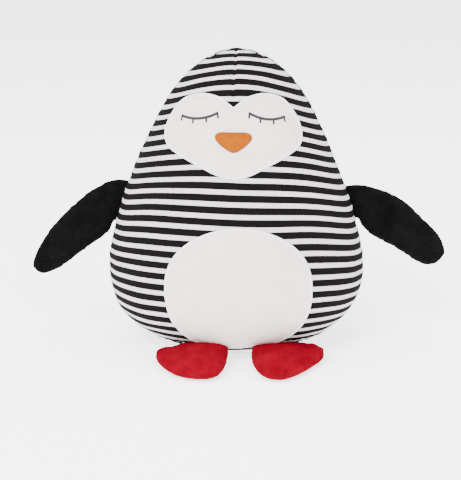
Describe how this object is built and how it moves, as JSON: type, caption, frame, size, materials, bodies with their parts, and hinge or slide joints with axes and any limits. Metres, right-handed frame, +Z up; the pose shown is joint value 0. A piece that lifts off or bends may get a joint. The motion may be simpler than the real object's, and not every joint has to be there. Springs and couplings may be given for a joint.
{
  "type": "plush penguin",
  "caption": "Pear-shaped stuffed penguin with a striped jersey body, heart face patch, round belly patch, flippers and feet.",
  "frame": {"origin": "middle of the flat contact face under the base", "axes": "+Z up, the toy faces -Y, +X towards the toy's own left flipper"},
  "size_m": [0.4171, 0.2443, 0.2893],
  "materials": {
    "striped_jersey": "matte",
    "white_fleece": "matte",
    "black_plush": "matte",
    "red_velour": "matte",
    "orange_felt": "matte",
    "dark_thread": "matte",
    "white_thread": "matte",
    "orange_thread": "matte",
    "red_thread": "matte",
    "filling": "matte",
    "label_tape": "satin"
  },
  "bodies": {
    "body": {"body_front_panel": "striped_jersey", "body_back_panel": "striped_jersey", "base_panel": "striped_jersey", "body_filling": "filling", "side_seam": "dark_thread", "base_seam": "dark_thread", "crown_dart_seam": "dark_thread", "closing_stitches": "dark_thread", "face_patch": "white_fleece", "face_patch_stitching": "white_thread", "left_eye_embroidery": "dark_thread", "right_eye_embroidery": "dark_thread", "beak_patch": "orange_felt", "beak_stitching": "orange_thread", "belly_patch": "white_fleece", "belly_patch_stitching": "white_thread", "sewn_in_label": "label_tape"},
    "left_wing_root": {"left_wing_tab": "black_plush"},
    "left_wing": {"left_wing_front_panel": "black_plush", "left_wing_back_panel": "black_plush", "left_wing_filling": "filling", "left_wing_seam": "dark_thread"},
    "left_foot": {"left_foot_top_panel": "red_velour", "left_foot_sole_panel": "red_velour", "left_foot_filling": "filling", "left_foot_seam": "red_thread"},
    "right_wing_root": {"right_wing_tab": "black_plush"},
    "right_wing": {"right_wing_front_panel": "black_plush", "right_wing_back_panel": "black_plush", "right_wing_filling": "filling", "right_wing_seam": "dark_thread"},
    "right_foot": {"right_foot_top_panel": "red_velour", "right_foot_sole_panel": "red_velour", "right_foot_filling": "filling", "right_foot_seam": "red_thread"}
  },
  "joints": [
    {"name": "left_wing_swing", "type": "hinge", "parent": "body", "child": "left_wing_root", "pos_m": [0.11697, 0.02424, 0.13749], "axis": [-0.304, 0.1654, 0.9382], "range_deg": [-60, 60], "stiffness_Nm_per_rad": 0.02},
    {"name": "left_wing_raise", "type": "hinge", "parent": "left_wing_root", "child": "left_wing", "pos_m": [0.1302, 0.02329, 0.13208], "axis": [0, -0.9848, 0.1736], "range_deg": [-15, 75], "stiffness_Nm_per_rad": 0.02, "springref_deg": 2.86},
    {"name": "right_wing_swing", "type": "hinge", "parent": "body", "child": "right_wing_root", "pos_m": [-0.11697, 0.02424, 0.13749], "axis": [0.304, 0.1654, 0.9382], "range_deg": [-60, 60], "stiffness_Nm_per_rad": 0.02},
    {"name": "right_wing_raise", "type": "hinge", "parent": "right_wing_root", "child": "right_wing", "pos_m": [-0.1302, 0.02329, 0.13208], "axis": [0, 0.9848, -0.1736], "range_deg": [-15, 75], "stiffness_Nm_per_rad": 0.02, "springref_deg": 2.86},
    {"name": "left_foot_fold", "type": "hinge", "parent": "body", "child": "left_foot", "pos_m": [0.03691, -0.06013, 0.011], "axis": [-0.9586, -0.2848, 0], "range_deg": [-75, 15], "stiffness_Nm_per_rad": 0.02},
    {"name": "right_foot_fold", "type": "hinge", "parent": "body", "child": "right_foot", "pos_m": [-0.03091, -0.06013, 0.011], "axis": [-0.9586, 0.2848, 0], "range_deg": [-75, 15], "stiffness_Nm_per_rad": 0.02}
  ]
}
